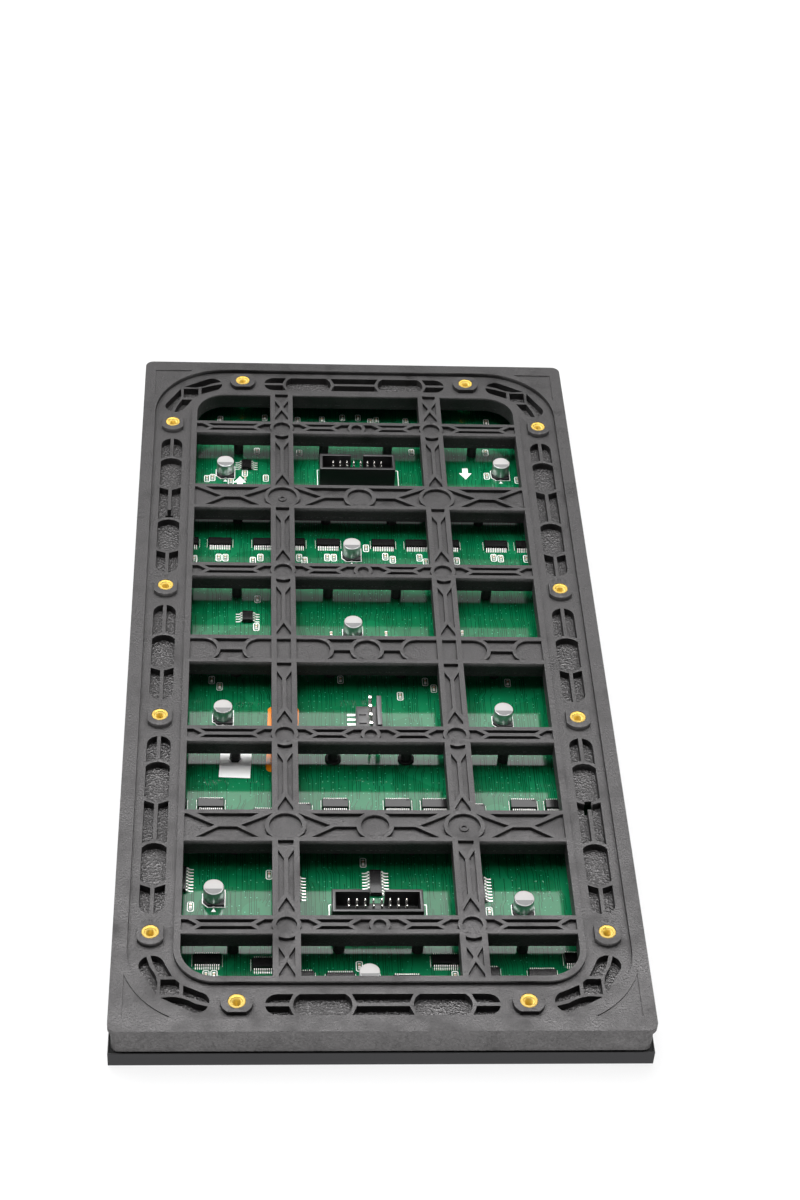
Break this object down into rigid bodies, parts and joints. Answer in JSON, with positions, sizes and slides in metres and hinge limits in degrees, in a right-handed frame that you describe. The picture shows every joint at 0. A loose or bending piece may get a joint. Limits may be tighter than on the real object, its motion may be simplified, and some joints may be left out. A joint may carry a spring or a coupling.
{
  "type": "LED display module",
  "caption": "Rectangular LED display module lying on its front: louvred front mask, green driver board and a ribbed plastic rear frame with threaded inserts.",
  "frame": {"origin": "centre of the footprint, on the plane that the front mask's edge rests on", "axes": "+X across the module, +Y along it, +Z from the front towards the rear"},
  "size_m": [0.1598, 0.3198, 0.0158],
  "materials": {
    "frame_plastic": "matt, finely textured",
    "mask_plastic": "matt",
    "board_laminate": "glossy solder mask",
    "lamp_resin": "glossy",
    "seal_rubber": "matt",
    "insert_brass": "turned",
    "connector_plastic": "matt",
    "contact_metal": "plated",
    "blade_metal": "tinned",
    "can_metal": "satin",
    "base_plastic": "satin",
    "chip_epoxy": "matt",
    "chip_ceramic": "satin",
    "white_paper": "matt",
    "orange_film": "glossy"
  },
  "bodies": {
    "root": {"rear_frame": "frame_plastic", "front_mask": "mask_plastic", "circuit_board": "board_laminate", "lamp_rows": "lamp_resin", "rim_seal": "seal_rubber", "threaded_inserts": "insert_brass", "power_housing": "connector_plastic", "power_blades": "blade_metal", "capacitor_bases": "base_plastic", "capacitor_cans": "can_metal", "chip_capacitors": "chip_ceramic", "white_label": "white_paper", "orange_label": "orange_film", "input_header": "connector_plastic", "input_header_pins": "contact_metal", "output_header": "connector_plastic", "output_header_pins": "contact_metal", "driver_chips_upper": "chip_epoxy", "driver_chips_middle": "chip_epoxy", "driver_chips_lower": "chip_epoxy", "decoder_chip_1": "chip_epoxy", "decoder_chip_2": "chip_epoxy", "decoder_chip_3": "chip_epoxy", "decoder_chip_4": "chip_epoxy", "buffer_chip_1": "chip_epoxy", "buffer_chip_2": "chip_epoxy"}
  },
  "joints": []
}
